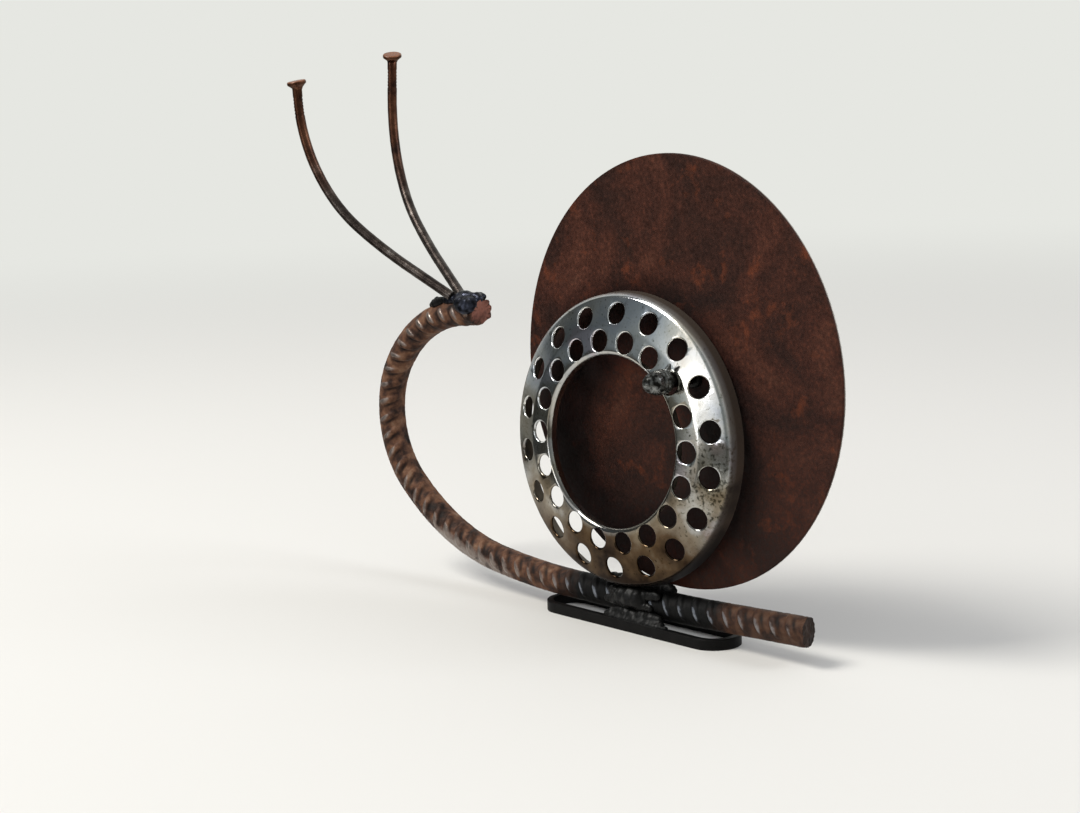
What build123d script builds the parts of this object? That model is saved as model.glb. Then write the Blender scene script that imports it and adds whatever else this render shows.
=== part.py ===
import os
from math import ceil, cos, floor, radians, sin, sqrt, tan

from build123d import *

os.makedirs("parts", exist_ok=True)

# A standing snail, welded together from scrap steel. Millimetres and degrees.
# +X runs from the head towards the tail, the polished ring is on the -Y side and +Z is up.
# The origin is on the ground, under the middle of the whole figure.

# Foot: an oblong link of flat bar on edge that lies on the ground.
foot_x = 48.1
foot_length = 120.0
foot_width = 25.0
foot_wall = 3.0
foot_height = 5.0
foot_edge_round = 0.5

# Body: one length of ribbed reinforcing bar, straight along the foot and bent up into a neck.
bar_core_diameter = 13.5
rib_height = 0.75
rib_width = 2.2
rib_pitch = 9.5
rib_lean = 27.0
seam_rib_width = 2.4
seam_rib_height = 0.5
tail_length = 107.5
tail_bend_radius, tail_bend_angle = 600.0, 2.3
tail_cut_angle = 20.0
heel_length = 20.0
flat_length = 64.0
sole_bend_radius, sole_bend_angle = 430.0, 7.7
belly_bend_radius, belly_bend_angle = 125.0, 35.0
breast_bend_radius, breast_bend_angle = 47.0, 85.0
neck_bend_radius, neck_bend_angle = 72.0, 46.0
head_length = 21.5
head_cut_angle = 22.0

# Shell ring: a polished, dished and perforated ring that rests on the bar and leans on the disc.
ring_diameter = 138.0
ring_bore = 80.0
ring_depth = 14.7
ring_gauge = 1.0
ring_lip_round = 2.4
ring_lip_depth = 4.6
ring_crease_diameter = 106.2
ring_crease_fall = 1.5
ring_shoulder_fall = 6.1
ring_shoulder_inset = 1.1
ring_shoulder_round = 3.0
hole_diameter = 10.0
hole_count = 18
inner_row_diameter = 93.7
outer_row_diameter = 118.6
ring_x = -4.5
ring_rest_offset = 2.0
ring_lean = 3.3
ring_turn = 2.1

# Shell: a plain disc of rusty plate that stands on edge behind the bar, just clear of its top.
disc_diameter = 200.0
disc_thickness = 2.0
disc_edge_round = 0.4
disc_x = 19.9
disc_lift = 0.4

# Peg: a stub of rod on the disc that passes through one hole of the ring's inner row.
peg_diameter = 7.0
peg_reach = 9.0
peg_hole_step = 2

# Feelers: two long wire nails, bent alike, laid side by side on the head and spread outwards.
nail_diameter = 5.0
nail_head_diameter = 10.0
nail_head_thickness = 2.0
nail_neck_length = 2.0
nail_spread = 14.5
nail_plane_lean = 3.1
nail_slope = 29.0
nail_run_length = 30.0
nail_bow_radius, nail_bow_angle = 263.0, 7.6
nail_bend_radius = 81.6
nail_start_length = 2.0
nail_root_gap = 0.2
nail_root_offset = 19.8
left_feeler_top = 257.0
right_feeler_top = 270.0

# Welds: rows of melted beads that fill the corners between the pieces.
head_bead_radius = 4.8
head_weld_offset = 3.0
head_weld_length = 17.0
head_weld_side = 2.0
head_weld_fall = 3.0
cheek_bead_radius = 3.6
cheek_weld_length = 8.0
cheek_weld_angle = 52.0
tack_bead_radius = 3.2
tack_weld_offset = 28.5
tack_weld_length = 9.0
tack_weld_angle = 26.0
ring_bead_radius = 4.6
ring_weld_shift = 7.0
ring_weld_length = 27.0
ring_weld_angle = 58.0
drip_bead_radius = 3.4
drip_weld_length = 14.0
drip_weld_angle = 85.0
disc_bead_radius = 3.5
disc_weld_shift = 6.9
disc_weld_length = 10.0
disc_weld_angle = 35.0
foot_bead_radius = 3.4
foot_weld_shift = 7.0
foot_weld_length = 36.0
foot_weld_rise = 2.4
knob_radius = 5.2
collar_radius = 4.6
root_bead_radius = 2.0

# Clearance between faces that touch on the real figure.
seat_gap = 0.3

bar_radius = bar_core_diameter / 2 + rib_height
bar_axis_height = foot_height + bar_radius
bar_top = foot_height + 2 * bar_radius
tail_x = foot_x + tail_length
heel_x = foot_x + heel_length
bends = (
    (sole_bend_radius, sole_bend_angle),
    (belly_bend_radius, belly_bend_angle),
    (breast_bend_radius, breast_bend_angle),
    (neck_bend_radius, neck_bend_angle),
)

# The tail slopes down to the heel, where the flat stretch on the foot begins.
tail_slope = radians(tail_bend_angle)
tail_run_length = (tail_length - heel_length - tail_bend_radius * sin(tail_slope)) / cos(tail_slope)
tail_rise = tail_bend_radius * (1 - cos(tail_slope)) + tail_run_length * sin(tail_slope)
tail_end = (tail_x, bar_axis_height + tail_rise)

# The bar's centre line, from the tail to the head, as straight runs and tangent bends.
with BuildLine(Plane.XZ) as bar_line:
    tail_run = PolarLine(tail_end, tail_run_length, 180 + tail_bend_angle)
    tail_bend = JernArc(tail_run @ 1, tail_run % 1, tail_bend_radius, -tail_bend_angle)
    run = Line(tail_bend @ 1, (tail_bend @ 1) + (tail_bend % 1) * flat_length)
    for bend_radius, bend_angle in bends:
        run = JernArc(run @ 1, run % 1, bend_radius, -bend_angle)
    head_run = Line(run @ 1, (run @ 1) + (run % 1) * head_length)

bar_path = bar_line.wires()[0]
head_end = head_run @ 1
head_direction = head_run % 1
tail_direction = (bar_path % 0) * -1
path_length = bar_path.length


def bar_plane(distance):
    """The plane across the bar at a distance from the tail along its centre line."""
    share = distance / path_length
    return Plane(origin=bar_path @ share, x_dir=(0, 1, 0), z_dir=bar_path % share)


def leaning_plane(plane, angle):
    """The same plane, leaned towards the head on the bar's inner side."""
    return Plane(origin=plane.origin, x_dir=(0, 1, 0), z_dir=plane.z_dir.rotate(Axis.Y, -angle))


def beside_bar(distance, angle, rise):
    """A point at a height over the bar's axis, leaned towards the -Y side by an angle."""
    lean = radians(angle)
    return bar_plane(distance).from_local_coords(Vector(-sin(lean), cos(lean)) * rise)


rib_count = floor(path_length / rib_pitch)
rib_planes = [leaning_plane(bar_plane((step + 0.5) * rib_pitch), rib_lean) for step in range(rib_count)]

with BuildPart() as body_bar:
    with BuildSketch(bar_plane(0)):
        Circle(bar_core_diameter / 2)
        Rectangle(seam_rib_width, bar_core_diameter + 2 * seam_rib_height)
    sweep(path=bar_path)
    with Locations(*rib_planes):
        Cylinder(bar_radius, rib_width)
    tail_cut = Plane(
        origin=bar_path @ 0 - tail_direction * (bar_radius * tan(radians(tail_cut_angle))),
        z_dir=tail_direction.rotate(Axis.Z, tail_cut_angle),
    )
    head_cut = Plane(
        origin=head_end - head_direction * (bar_radius * tan(radians(head_cut_angle))),
        z_dir=head_direction.rotate(Axis.Y, head_cut_angle),
    )
    with BuildSketch(tail_cut, head_cut):
        Circle(bar_core_diameter)
    extrude(amount=bar_core_diameter, mode=Mode.SUBTRACT)
body_bar.part.label = "body_bar"
export_step(body_bar.part, "parts/body_bar.step")

with BuildPart() as foot_link:
    with BuildSketch(Plane((foot_x, 0, 0))):
        SlotOverall(foot_length, foot_width)
        SlotOverall(foot_length - 2 * foot_wall, foot_width - 2 * foot_wall, mode=Mode.SUBTRACT)
    extrude(amount=foot_height)
    fillet(foot_link.faces().sort_by(Axis.Z)[-1].outer_wire().edges(), foot_edge_round)
foot_link.part.label = "foot_link"
export_step(foot_link.part, "parts/foot_link.step")

# The ring's plane holds the back rim of its skirt. The rim rests on the bar's shoulder.
ring_across = Vector(1, 0, 0).rotate(Axis.Z, ring_turn)
ring_normal = Vector(0, -1, 0).rotate(Axis.X, -ring_lean).rotate(Axis.Z, ring_turn)
rim_radius = ring_diameter / 2
bore_radius = ring_bore / 2
rest_height = sqrt((bar_core_diameter / 2) ** 2 - ring_rest_offset**2) + seat_gap
ring_center = Vector(
    foot_x + ring_x,
    rim_radius * sin(radians(ring_lean)) - ring_rest_offset,
    bar_axis_height + rest_height + rim_radius * cos(radians(ring_lean)),
)
ring_plane = Plane(origin=ring_center, x_dir=ring_across, z_dir=ring_normal)
ring_section = Plane(origin=ring_center, x_dir=ring_across, z_dir=-ring_plane.y_dir)
ring_axis = Axis(ring_center, ring_normal)


def ring_front():
    """The polished side's outline, from the rim of the skirt in to the lip of the bore."""
    shoulder = (rim_radius - ring_shoulder_inset, ring_depth - ring_shoulder_fall)
    crease = (ring_crease_diameter / 2, ring_depth - ring_crease_fall)
    crest = (bore_radius + ring_lip_round, ring_depth)
    skirt = Line((rim_radius, 0), shoulder)
    Polyline(skirt @ 1, crease, crest)
    fillet(skirt.vertices().sort_by(Axis(skirt @ 0, skirt % 0))[-1], ring_shoulder_round)
    lip = RadiusArc(crest, (bore_radius, ring_depth - ring_lip_round), -ring_lip_round)
    Line(lip @ 1, (bore_radius, ring_depth - ring_lip_depth))


with BuildPart() as shell_ring:
    with BuildSketch(ring_section):
        with BuildLine():
            ring_front()
            offset(amount=ring_gauge, side=Side.LEFT)
        make_face()
    revolve(axis=ring_axis)
    with BuildSketch(ring_plane):
        with PolarLocations(inner_row_diameter / 2, hole_count):
            Circle(hole_diameter / 2)
        with PolarLocations(outer_row_diameter / 2, hole_count, start_angle=180 / hole_count):
            Circle(hole_diameter / 2)
    extrude(amount=ring_depth + ring_gauge, mode=Mode.SUBTRACT)
shell_ring.part.label = "shell_ring"
export_step(shell_ring.part, "parts/shell_ring.step")

# The disc's face stands where the ring's rim leans on it.
ring_tilt = ring_normal.get_angle(Vector(0, -1, 0))
disc_face_y = ring_center.Y + rim_radius * sin(radians(ring_tilt)) + seat_gap
disc_bottom = bar_top + disc_lift
disc_center = Vector(foot_x + disc_x, disc_face_y, disc_bottom + disc_diameter / 2)
disc_plane = Plane(origin=disc_center, x_dir=(1, 0, 0), z_dir=(0, -1, 0))

with BuildPart() as shell_disc:
    with BuildSketch(disc_plane):
        Circle(disc_diameter / 2)
    extrude(amount=-disc_thickness)
    fillet(shell_disc.edges().filter_by(GeomType.CIRCLE), disc_edge_round)
shell_disc.part.label = "shell_disc"
export_step(shell_disc.part, "parts/shell_disc.step")

# The peg stands square on the disc and touches the top of its hole.
peg_angle = radians(peg_hole_step * 360 / hole_count)
hole_point = ring_plane.from_local_coords(
    Vector(cos(peg_angle), sin(peg_angle)) * (inner_row_diameter / 2) + Vector(0, 0, ring_depth)
)
peg_rise = (hole_diameter - peg_diameter) / 2 - seat_gap
peg_root = Vector(hole_point.X, disc_face_y, hole_point.Z + peg_rise)
peg_length = disc_face_y - hole_point.Y + peg_reach

with BuildPart() as ring_peg:
    with BuildSketch(Plane(origin=peg_root, z_dir=(0, -1, 0))):
        Circle(peg_diameter / 2)
    extrude(amount=peg_length)
    fillet(ring_peg.edges().sort_by(Axis.Y)[0], peg_diameter / 4)
ring_peg.part.label = "ring_peg"
export_step(ring_peg.part, "parts/ring_peg.step")


def solid_bar():
    """The bar's outer envelope, over its ribs, as a tool for cutting what lies on it."""
    with BuildPart() as envelope:
        with BuildSketch(bar_plane(0)):
            Circle(bar_radius)
        sweep(path=bar_path)
    return envelope.part


def solid_ring():
    """The ring with its bore and holes filled, as a tool for cutting what touches it."""
    with BuildPart() as envelope:
        with BuildSketch(ring_section):
            with BuildLine():
                ring_front()
                Polyline(
                    (bore_radius, ring_depth - ring_lip_depth),
                    (0, ring_depth - ring_lip_depth),
                    (0, 0),
                    (rim_radius, 0),
                )
            make_face()
        revolve(axis=ring_axis)
    return envelope.part


bar_envelope = solid_bar()
ring_envelope = solid_ring()


def bent_nail(side, top):
    """A wire nail, bent in a plane that turns and leans away from the bar, side -1 to the left."""
    spread = radians(nail_spread)
    root_side = Vector(0, side * (nail_diameter + nail_root_gap) / 2, 0)
    root = beside_bar(path_length - nail_root_offset, 0, bar_radius) + root_side
    outwards = Vector(-cos(spread), side * sin(spread), 0)
    across = outwards.cross(Vector(0, 0, 1)).rotate(Axis((0, 0, 0), outwards), side * nail_plane_lean)
    with BuildPart() as nail:
        with BuildLine(Plane(origin=root, x_dir=outwards, z_dir=across)) as nail_line:
            root_rise = nail_start_length * tan(radians(nail_slope))
            shank = PolarLine((nail_start_length, root_rise), nail_run_length, nail_slope)
            bow = JernArc(shank @ 1, shank % 1, nail_bow_radius, nail_bow_angle)
            bend = JernArc(bow @ 1, bow % 1, nail_bend_radius, 90 - nail_slope - nail_bow_angle)
            tip_length = (top - nail_head_thickness - (bend @ 1).Z) / cos(radians(nail_plane_lean))
            tip = Line(bend @ 1, (bend @ 1) + (bend % 1) * tip_length)
        with BuildSketch(Plane(origin=shank @ 0, z_dir=shank % 0)):
            Circle(nail_diameter / 2)
        sweep(path=nail_line.wires()[0])
        head_plane = Plane(origin=tip @ 1, z_dir=tip % 1)
        with BuildSketch(head_plane.offset(-nail_neck_length)):
            Circle(nail_diameter / 2)
        with BuildSketch(head_plane):
            Circle(nail_head_diameter / 2)
        loft()
        with BuildSketch(head_plane):
            Circle(nail_head_diameter / 2)
        extrude(amount=nail_head_thickness)
        add(bar_envelope, mode=Mode.SUBTRACT)
    return nail.part


left_feeler = bent_nail(-1, left_feeler_top)
right_feeler = bent_nail(1, right_feeler_top)
for name, nail in (("left_feeler", left_feeler), ("right_feeler", right_feeler)):
    nail.label = name
    export_step(nail, f"parts/{name}.step")


def bead_row(first, last, radius):
    """Centres along a line, never more than one radius apart, so that the beads overlap."""
    count = ceil((last - first).length / radius) + 1
    return [first + (last - first) * (step / (count - 1)) for step in range(count)]


def weld(name, rows, tools, floor_height=0):
    """A lump of melted beads, trimmed to the faces of the pieces that it joins."""
    with BuildPart() as lump:
        for first, last, radius in rows:
            with Locations(*bead_row(first, last, radius)):
                Sphere(radius)
        for tool in tools:
            add(tool, mode=Mode.SUBTRACT)
        if floor_height:
            split(bisect_by=Plane.XY.offset(floor_height), keep=Keep.TOP)
    lump.part.label = name
    export_step(lump.part, f"parts/{name}.step")
    return lump.part


def on_flat(x, angle):
    """A point on the surface of the bar's flat stretch, leaned towards the -Y side."""
    lean = radians(angle)
    return Vector(x, -bar_radius * sin(lean), bar_axis_height + bar_radius * cos(lean))


head_weld_front = path_length - head_weld_offset
head_weld_back = head_weld_front - head_weld_length
cheek_weld_back = head_weld_front - cheek_weld_length
head_side = Vector(0, -head_weld_side, 0)
weld(
    "head_weld",
    (
        (
            beside_bar(head_weld_back, 0, bar_radius) + head_side,
            beside_bar(head_weld_front, 0, bar_radius - head_weld_fall) + head_side,
            head_bead_radius,
        ),
        (
            beside_bar(cheek_weld_back, cheek_weld_angle, bar_radius),
            beside_bar(head_weld_front, cheek_weld_angle, bar_radius),
            cheek_bead_radius,
        ),
    ),
    (bar_envelope, left_feeler, right_feeler),
)

tack_weld_front = path_length - tack_weld_offset
weld(
    "neck_tack",
    (
        (
            beside_bar(tack_weld_front - tack_weld_length, tack_weld_angle, bar_radius),
            beside_bar(tack_weld_front, tack_weld_angle, bar_radius),
            tack_bead_radius,
        ),
    ),
    (bar_envelope, left_feeler, right_feeler),
)

ring_weld_x = foot_x + ring_x + ring_weld_shift
ring_weld = weld(
    "ring_weld",
    (
        (
            on_flat(ring_weld_x - ring_weld_length / 2, ring_weld_angle),
            on_flat(ring_weld_x + ring_weld_length / 2, ring_weld_angle),
            ring_bead_radius,
        ),
        (
            on_flat(ring_weld_x - drip_weld_length / 2, drip_weld_angle),
            on_flat(ring_weld_x + drip_weld_length / 2, drip_weld_angle),
            drip_bead_radius,
        ),
    ),
    (bar_envelope, ring_envelope),
)

disc_weld_x = foot_x + disc_x - disc_weld_shift
weld(
    "disc_weld",
    (
        (
            on_flat(disc_weld_x - disc_weld_length / 2, -disc_weld_angle),
            on_flat(disc_weld_x + disc_weld_length / 2, -disc_weld_angle),
            disc_bead_radius,
        ),
    ),
    (bar_envelope, ring_envelope, shell_disc.part),
)

foot_weld_x = foot_x + foot_weld_shift
foot_weld_y = -(bar_radius + foot_width / 2 - foot_wall) / 2
weld(
    "foot_weld",
    (
        (
            Vector(foot_weld_x - foot_weld_length / 2, foot_weld_y, foot_height + foot_weld_rise),
            Vector(foot_weld_x + foot_weld_length / 2, foot_weld_y, foot_height + foot_weld_rise),
            foot_bead_radius,
        ),
    ),
    (bar_envelope, ring_weld),
    floor_height=foot_height,
)

peg_end = peg_root - Vector(0, peg_length, 0)
weld(
    "peg_weld",
    (
        (peg_end, peg_end + Vector(0, knob_radius / 2, 0), knob_radius),
        (peg_end + Vector(0, knob_radius, 0), Vector(*hole_point), collar_radius),
    ),
    (ring_envelope, ring_peg.part),
)

with BuildPart() as peg_root_weld:
    with BuildSketch(Plane(origin=peg_root, x_dir=(1, 0, 0), z_dir=(0, -1, 0))):
        Circle(peg_diameter / 2 + root_bead_radius)
        Circle(peg_diameter / 2, mode=Mode.SUBTRACT)
    extrude(amount=root_bead_radius)
    fillet(peg_root_weld.edges().group_by(Axis.Y)[0].sort_by(SortBy.RADIUS)[-1], root_bead_radius * 0.9)
peg_root_weld.part.label = "peg_root_weld"
export_step(peg_root_weld.part, "parts/peg_root_weld.step")
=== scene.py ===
from functools import partial
from math import atan2, ceil, cos, pi, radians, sin, sqrt, tan
from random import Random

import bpy
from mathutils import Matrix, Vector


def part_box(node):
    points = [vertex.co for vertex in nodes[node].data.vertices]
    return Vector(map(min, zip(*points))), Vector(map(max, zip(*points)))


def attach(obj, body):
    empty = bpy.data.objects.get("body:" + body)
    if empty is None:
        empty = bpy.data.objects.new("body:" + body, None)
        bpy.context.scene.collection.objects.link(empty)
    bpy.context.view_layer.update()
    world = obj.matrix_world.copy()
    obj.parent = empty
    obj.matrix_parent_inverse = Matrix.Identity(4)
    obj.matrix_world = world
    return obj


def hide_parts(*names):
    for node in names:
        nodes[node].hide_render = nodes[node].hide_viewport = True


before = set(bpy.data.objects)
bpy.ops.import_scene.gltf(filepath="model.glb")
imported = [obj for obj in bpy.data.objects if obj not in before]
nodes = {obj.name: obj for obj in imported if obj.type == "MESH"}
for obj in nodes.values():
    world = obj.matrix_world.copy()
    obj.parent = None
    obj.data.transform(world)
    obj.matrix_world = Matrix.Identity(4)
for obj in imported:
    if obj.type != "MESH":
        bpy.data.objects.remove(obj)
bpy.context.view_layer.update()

# A snail welded together from scrap steel. Everything here is in metres, in the frame's own place.
MM = 0.001
foot_low, foot_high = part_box("foot_link")
FOOT_X = (foot_low.x + foot_high.x) / 2
UPRIGHT = Vector((0, 0, 1))

# What a Mix node needs to blend two colours, or to multiply them.
BLEND = {"data_type": "RGBA"}
MULTIPLY = {"data_type": "RGBA", "blend_type": "MULTIPLY"}


def linear(hex_colour):
    """The linear colour of an sRGB hex value."""
    channels = [int(hex_colour[i:i + 2], 16) / 255 for i in (1, 3, 5)]
    return [c / 12.92 if c <= 0.04045 else ((c + 0.055) / 1.055) ** 2.4 for c in channels] + [1.0]


def add_node(tree, kind, inputs=None, stops=None, **settings):
    """One node with its settings and links. An input is named, or numbered among those that the settings
    leave in use. It is a value, a hex colour, another node's output, or a node, for its first output. A stop
    of a ramp is a place with a colour or a grey level, which may be over 1."""
    node = tree.nodes.new("ShaderNode" + kind)
    for name, value in settings.items():
        setattr(node, name, value)
    for key, value in (inputs or {}).items():
        in_use = [socket for socket in node.inputs if socket.enabled]
        names = [socket.name for socket in in_use]
        target = in_use[key if isinstance(key, int) else names.index(key)]
        if isinstance(value, bpy.types.Node):
            value = next(socket for socket in value.outputs if socket.enabled)
        if isinstance(value, bpy.types.NodeSocket):
            tree.links.new(value, target)
        else:
            target.default_value = linear(value) if isinstance(value, str) else value
    if stops:
        ramp = node.color_ramp.elements
        while len(ramp) < len(stops):
            ramp.new(0.5)
        for element, (place, colour) in zip(ramp, stops):
            element.position = place
            element.color = linear(colour) if isinstance(colour, str) else (colour, colour, colour, 1)
    return node


def empty_tree(owner):
    """Clears a world's or material's node tree, and gives the function that adds a node to it."""
    owner.use_nodes = True
    owner.node_tree.nodes.clear()
    return partial(add_node, owner.node_tree)


def new_material(name):
    """A material, the function that adds a node to it, and the Object coordinates for its patterns."""
    material = bpy.data.materials.new(name)
    add = empty_tree(material)
    return material, add, add("TexCoord").outputs["Object"]


def add_surface(add, colour, metallic, roughness, relief, strength, depth, shine=0.5):
    """Ends a material: its shader, with a pattern as fine relief, at a strength and down to a depth."""
    bump = add("Bump", {"Height": relief, "Strength": strength, "Distance": depth})
    shader = add("BsdfPrincipled", {
        "Base Color": colour, "Metallic": metallic, "Roughness": roughness, "Specular IOR Level": shine,
        "Normal": bump,
    })
    add("OutputMaterial", {"Surface": shader})


def per_size(millimetres):
    """The noise scale at which a pattern on Object coordinates repeats about once in that size."""
    return 1 / (millimetres * MM)


# Studio


# The camera stands off the snail's left side, towards its tail, and looks slightly down. Angles in degrees.
CAMERA_PLACE = Vector((0.75674, -0.67653, 0.26964))
CAMERA_AZIMUTH = 48.878
CAMERA_ELEVATION = 9.5
CAMERA_ROLL = -2.2
CAMERA_LENS, CAMERA_SENSOR = 71.667, 36
CAMERA_CLIP = (0.01, 100)

# The pale floor fades into the backdrop between two distances, which are shorter in gloss.
FLOOR_SIZE = 14.0
CAMERA_FADE, GLOSS_FADE = (0.5, 2.2), (0.12, 0.5)
FLOOR_COLOUR, FLOOR_GLOSS_TONE = "#dcdad5", "#b8b0a4"
BACKDROP_COLOUR = "#e6e7e2"
AMBIENT_COLOUR, AMBIENT_LEVEL = "#f4f6fa", 0.62

# Each soft lamp's name, place, width, height, power in watts and colour. All look at the snail's middle.
LAMP_AIM = Vector((0, 0, 0.13))
LAMPS = (
    ("key_lamp", Vector((-0.8, -1.3, 2.1)), 1.1, 1.1, 52, "#fffdf8"),
    ("window_lamp", Vector((-0.42, -2.15, 0.38)), 0.28, 0.62, 2.3, "#fbfdff"),
    ("rim_lamp", Vector((1.6, 0.9, 1.3)), 0.9, 0.9, 12, "#f4f8ff"),
)

# What gloss sees, by its share of a turn that starts at -X, where the head is, and passes -Y first.
YARD = (
    (0.0, "#b9bcba"), (0.03, "#a9adac"), (0.06, "#3b3e3d"), (0.12, "#5a5f61"), (0.15, "#70777a"),
    (0.175, "#a0a8ac"), (0.192, "#d6dcdf"), (0.2, "#ffffff"), (0.232, "#ffffff"), (0.25, "#9da1a1"),
    (0.31, "#757876"), (0.8, "#e6e7e2"), (1.0, "#b9bcba"),
)


def make_camera():
    """The photograph's viewing angle."""
    camera = bpy.data.objects.new("camera", bpy.data.cameras.new("camera"))
    camera.data.lens = CAMERA_LENS
    camera.data.sensor_width = CAMERA_SENSOR
    camera.data.sensor_fit = "HORIZONTAL"
    camera.data.clip_start, camera.data.clip_end = CAMERA_CLIP
    turn = (
        Matrix.Rotation(radians(CAMERA_AZIMUTH), 3, "Z")
        @ Matrix.Rotation(radians(90 - CAMERA_ELEVATION), 3, "X")
        @ Matrix.Rotation(radians(CAMERA_ROLL), 3, "Z")
    )
    camera.matrix_world = Matrix.LocRotScale(CAMERA_PLACE, turn, None)
    bpy.context.scene.collection.objects.link(camera)
    bpy.context.scene.camera = camera


def make_lamp(name, place, width, height, power, colour):
    """A soft rectangular lamp, which the camera itself doesn't see."""
    lamp = bpy.data.objects.new(name, bpy.data.lights.new(name, "AREA"))
    lamp.data.shape = "RECTANGLE"
    lamp.data.size, lamp.data.size_y = width, height
    lamp.data.energy = power
    lamp.data.color = linear(colour)[:3]
    lamp.visible_camera = False
    turn = (place - LAMP_AIM).to_track_quat("Z", "Y").to_matrix().to_4x4()
    lamp.matrix_world = Matrix.Translation(place) @ turn
    bpy.context.scene.collection.objects.link(lamp)


def seen_around(add, direction, is_camera):
    """The pale backdrop for the camera, and for gloss the light and dark sides of an open yard."""
    around = add("TexGradient", {"Vector": direction}, gradient_type="RADIAL")
    sides = add("ValToRGB", {"Fac": around.outputs["Fac"]}, stops=YARD)
    return add("Mix", {"Factor": is_camera, "A": sides, "B": BACKDROP_COLOUR}, **BLEND)


def make_world():
    """Plain light all round, behind what the camera and gloss see."""
    world = bpy.data.worlds.new("studio")
    bpy.context.scene.world = world
    add = empty_tree(world)
    path = add("LightPath").outputs
    direction = add("TexCoord").outputs["Generated"]
    colour = seen_around(add, direction, path["Is Camera Ray"])
    seen = add("Background", {"Color": colour, "Strength": 1.0})
    light = add("Background", {"Color": AMBIENT_COLOUR, "Strength": AMBIENT_LEVEL})
    is_seen = path["Is Camera Ray"]
    for ray in ("Is Glossy Ray", "Is Transmission Ray"):
        is_seen = add("Math", {0: is_seen, 1: path[ray]}, operation="MAXIMUM")
    both = add("MixShader", {0: is_seen, 1: light, 2: seen})
    add("OutputWorld", {"Surface": both})


def make_floor():
    """Matt pale paint near the snail, which fades into the backdrop's own colour further out."""
    material, add, place = new_material("matt_pale_paint")
    path = add("LightPath").outputs
    distance = add("VectorMath", {0: place}, operation="LENGTH")
    shares = []
    for ray, (start, end) in (("Is Camera Ray", CAMERA_FADE), ("Is Glossy Ray", GLOSS_FADE)):
        fade = add("MapRange", {"Value": distance, "From Min": start, "From Max": end},
                   interpolation_type="SMOOTHSTEP")
        shares.append(add("Math", {0: fade, 1: path[ray]}, operation="MULTIPLY"))
    share = add("Math", dict(enumerate(shares)), operation="MAXIMUM")
    paint = add("BsdfPrincipled", {"Base Color": FLOOR_COLOUR, "Roughness": 0.9})
    colour = seen_around(add, place, path["Is Camera Ray"])
    tone = add("Mix", {"Factor": path["Is Camera Ray"], "A": FLOOR_GLOSS_TONE, "B": "#ffffff"}, **BLEND)
    toned = add("Mix", {"Factor": 1.0, "A": colour, "B": tone}, **MULTIPLY)
    backdrop = add("Emission", {"Color": toned, "Strength": 1.0})
    both = add("MixShader", {0: share, 1: paint, 2: backdrop})
    add("OutputMaterial", {"Surface": both})
    bpy.ops.mesh.primitive_plane_add(size=FLOOR_SIZE)
    floor = bpy.context.object
    floor.name = "floor"
    floor.data.materials.append(material)


# Modelling helpers


DOUBLES = 0.01 * MM


def deselect():
    bpy.ops.object.select_all(action="DESELECT")


def take(piece):
    """Makes a piece the only one selected."""
    deselect()
    piece.select_set(True)
    bpy.context.view_layer.objects.active = piece


def edit(piece):
    """Opens a piece in edit mode, with all of it selected."""
    take(piece)
    bpy.ops.object.mode_set(mode="EDIT")
    bpy.ops.mesh.select_all(action="SELECT")


def done():
    bpy.ops.object.mode_set(mode="OBJECT")


def join(pieces):
    """Makes one piece of several."""
    take(pieces[0])
    for piece in pieces:
        piece.select_set(True)
    bpy.ops.object.join()
    return pieces[0]


def add_modifier(piece, kind, **settings):
    """Adds a modifier to a piece and applies it."""
    take(piece)
    modifier = piece.modifiers.new(kind.lower(), kind)
    for name, value in settings.items():
        setattr(modifier, name, value)
    bpy.ops.object.modifier_apply(modifier=modifier.name)


def add_roughness(piece, size, height, group=""):
    """Moves the surface in and out by a cloudy pattern of that size and height, as scale and hammering do."""
    clouds = bpy.data.textures.new("scale", "CLOUDS")
    clouds.noise_scale = size
    clouds.noise_depth = 2
    add_modifier(piece, "DISPLACE", texture=clouds, texture_coords="LOCAL", strength=height,
                 vertex_group=group)


def drawn_piece(name, outline, steps):
    """A round piece on the Z axis, drawn out ring by ring along an outline of radius and height."""
    deselect()
    radius, height = outline[0]
    bpy.ops.mesh.primitive_circle_add(vertices=steps, radius=radius, location=(0, 0, 0))
    piece = bpy.context.object
    piece.name = name
    edit(piece)
    bpy.ops.transform.translate(value=(0, 0, height))
    for next_radius, next_height in outline[1:]:
        bpy.ops.mesh.extrude_region_move()
        share = next_radius / radius
        bpy.ops.transform.resize(value=(share, share, 1), center_override=(0, 0, height))
        bpy.ops.transform.translate(value=(0, 0, next_height - height))
        radius, height = next_radius, next_height
    done()
    return piece


def face_outwards(piece):
    """Merges doubles and points all faces outwards."""
    edit(piece)
    bpy.ops.mesh.remove_doubles(threshold=DOUBLES)
    bpy.ops.mesh.normals_make_consistent(inside=False)
    done()


def close_ends(piece):
    """Closes the open ends of a drawn piece, and points its faces outwards."""
    edit(piece)
    bpy.ops.mesh.fill_holes(sides=0)
    bpy.ops.mesh.normals_make_consistent(inside=False)
    done()


def new_marks(mesh, *names):
    """Layers of one number per point, which the finish reads by name."""
    for name in names:
        mesh.attributes.new(name, "FLOAT", "POINT")
    return [mesh.attributes[name].data for name in names]


def arc(center, radius, first, last, steps):
    """Points round an arc, both ends included, from one angle to another in radians."""
    angles = [first + (last - first) * step / steps for step in range(steps + 1)]
    return [(center[0] + radius * cos(angle), center[1] + radius * sin(angle)) for angle in angles]


def clamp(value, low=0):
    """Keeps a share between a lower limit and 1."""
    return min(1, max(low, value))


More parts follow.
